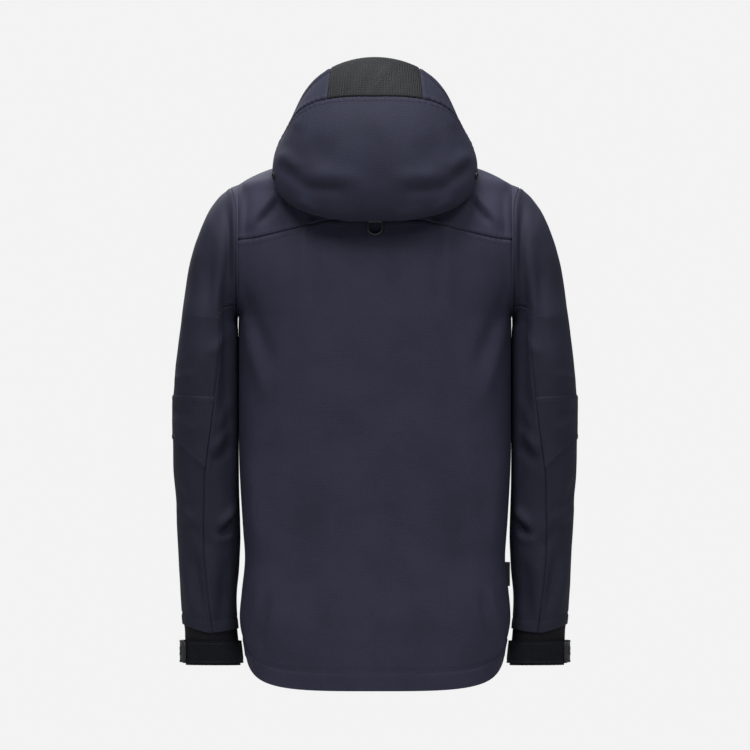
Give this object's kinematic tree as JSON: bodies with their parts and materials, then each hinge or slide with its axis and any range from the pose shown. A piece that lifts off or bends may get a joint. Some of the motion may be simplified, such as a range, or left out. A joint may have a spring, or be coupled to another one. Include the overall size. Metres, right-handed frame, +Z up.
{
  "type": "foul weather jacket",
  "caption": "Hooded sailing jacket with a full front zip, set-in sleeves, stand-up collar, lowered hood with a ribbed visor, and adjustable cuffs.",
  "frame": {"origin": "middle of the neck at the height where the collar seam meets the shoulders, where a wearer or a hanger carries the jacket", "axes": "+Z up, -Y out of the front zip, +X to the wearer's left"},
  "size_m": [0.5894, 0.2887, 0.913],
  "materials": {
    "shell_fabric": "three-layer waterproof woven shell, matt navy",
    "ribbed_fabric": "black ribbed visor fabric",
    "lining_mesh": "dark mesh lining",
    "fleece": "brushed fleece collar lining",
    "facing_fabric": "plain woven facing",
    "zip_tape": "woven black zip tape",
    "zip_plastic": "moulded black acetal",
    "slider_metal": "black painted zinc",
    "pull_plastic": "moulded rubber pull",
    "ring_plastic": "glossy black acetal",
    "webbing": "black woven webbing",
    "stiffener_plastic": "flexible plastic peak, sewn in",
    "eyelet_metal": "black coated brass eyelets",
    "patch_fabric": "reinforced woven patch, matt navy",
    "cuff_band": "black stretch cuff band",
    "loop_strap": "dark loop-pile strap",
    "tab_rubber": "moulded hook tab"
  },
  "bodies": {
    "torso": {"back_panel": "shell_fabric", "back_yoke": "shell_fabric", "left_front_panel": "shell_fabric", "right_front_panel": "shell_fabric", "body_lining": "lining_mesh", "yoke_lining": "lining_mesh", "hem_facing": "facing_fabric", "collar_outer": "shell_fabric", "collar_lining": "fleece", "left_zip_teeth": "zip_plastic", "right_zip_teeth": "zip_plastic", "left_zip_tape": "zip_tape", "right_zip_tape": "zip_tape", "storm_flap": "shell_fabric", "zip_bottom_box": "zip_plastic", "left_pocket_zip": "zip_tape", "right_pocket_zip": "zip_tape", "left_pocket_bag": "facing_fabric", "right_pocket_bag": "facing_fabric", "d_ring_webbing": "webbing", "side_label": "webbing", "hang_loop": "facing_fabric", "hood_neck_panel": "shell_fabric", "hem_eyelets": "eyelet_metal"},
    "hood": {"hood_crown": "shell_fabric", "hood_ribbed_panel": "ribbed_fabric", "left_visor": "shell_fabric", "right_visor": "shell_fabric", "visor_stiffener": "stiffener_plastic", "hood_lining": "lining_mesh", "hood_eyelets": "eyelet_metal"},
    "left_upper_arm": {"left_upper_sleeve": "shell_fabric", "left_under_sleeve": "shell_fabric", "left_sleeve_lining": "lining_mesh"},
    "left_forearm": {"left_forearm_outer": "shell_fabric", "left_forearm_inner": "shell_fabric", "left_elbow_patch": "patch_fabric", "left_cuff_band": "cuff_band", "left_cuff_strap": "loop_strap"},
    "left_tab": {"left_cuff_tab": "tab_rubber"},
    "left_pocket_runner": {"left_pocket_slider": "slider_metal"},
    "right_upper_arm": {"right_upper_sleeve": "shell_fabric", "right_under_sleeve": "shell_fabric", "right_sleeve_lining": "lining_mesh"},
    "right_forearm": {"right_forearm_outer": "shell_fabric", "right_forearm_inner": "shell_fabric", "right_elbow_patch": "patch_fabric", "right_cuff_band": "cuff_band", "right_cuff_strap": "loop_strap"},
    "right_tab": {"right_cuff_tab": "tab_rubber"},
    "right_pocket_runner": {"right_pocket_slider": "slider_metal"},
    "zip_slider": {"main_zip_slider": "slider_metal"},
    "zip_pull": {"main_zip_pull": "pull_plastic"},
    "ring": {"d_ring": "ring_plastic"}
  },
  "joints": [
    {"name": "hood_fold", "type": "hinge", "parent": "torso", "child": "hood", "pos_m": [0, 0.01, 0.005], "axis": [1, 0, 0], "range_deg": [0, 60]},
    {"name": "left_shoulder_swing", "type": "hinge", "parent": "torso", "child": "left_upper_arm", "pos_m": [0.199, 0, -0.109], "axis": [-1, 0, 0], "range_deg": [-25, 60]},
    {"name": "left_elbow_bend", "type": "hinge", "parent": "left_upper_arm", "child": "left_forearm", "pos_m": [0.2455, -0.004, -0.328], "axis": [-1, 0, 0], "range_deg": [0, 60]},
    {"name": "left_cuff_tab_peel", "type": "hinge", "parent": "left_forearm", "child": "left_tab", "pos_m": [0.2829, -0.00143, -0.691], "axis": [0, 0, 1], "range_deg": [0, 100]},
    {"name": "left_pocket_zip_slide", "type": "slide", "parent": "torso", "child": "left_pocket_runner", "axis": [-0.0303, -0.021, -0.9993], "range_m": [0, 0.14]},
    {"name": "right_shoulder_swing", "type": "hinge", "parent": "torso", "child": "right_upper_arm", "pos_m": [-0.199, 0, -0.109], "axis": [-1, 0, 0], "range_deg": [-25, 60]},
    {"name": "right_elbow_bend", "type": "hinge", "parent": "right_upper_arm", "child": "right_forearm", "pos_m": [-0.2455, -0.004, -0.328], "axis": [-1, 0, 0], "range_deg": [0, 60]},
    {"name": "right_cuff_tab_peel", "type": "hinge", "parent": "right_forearm", "child": "right_tab", "pos_m": [-0.2829, -0.00143, -0.691], "axis": [0, 0, -1], "range_deg": [0, 100]},
    {"name": "right_pocket_zip_slide", "type": "slide", "parent": "torso", "child": "right_pocket_runner", "axis": [0.0303, -0.021, -0.9993], "range_m": [0, 0.14]},
    {"name": "main_zip_slide", "type": "slide", "parent": "torso", "child": "zip_slider", "axis": [0, -0.0321, -0.9995], "range_m": [0, 0.75]},
    {"name": "main_zip_pull_swing", "type": "hinge", "parent": "zip_slider", "child": "zip_pull", "pos_m": [0, -0.09263, 0.0518], "axis": [-1, 0, 0], "range_deg": [0, 150]},
    {"name": "d_ring_swing", "type": "hinge", "parent": "torso", "child": "ring", "pos_m": [0, 0.11236, -0.069], "axis": [1, 0, 0], "range_deg": [0, 80]}
  ]
}
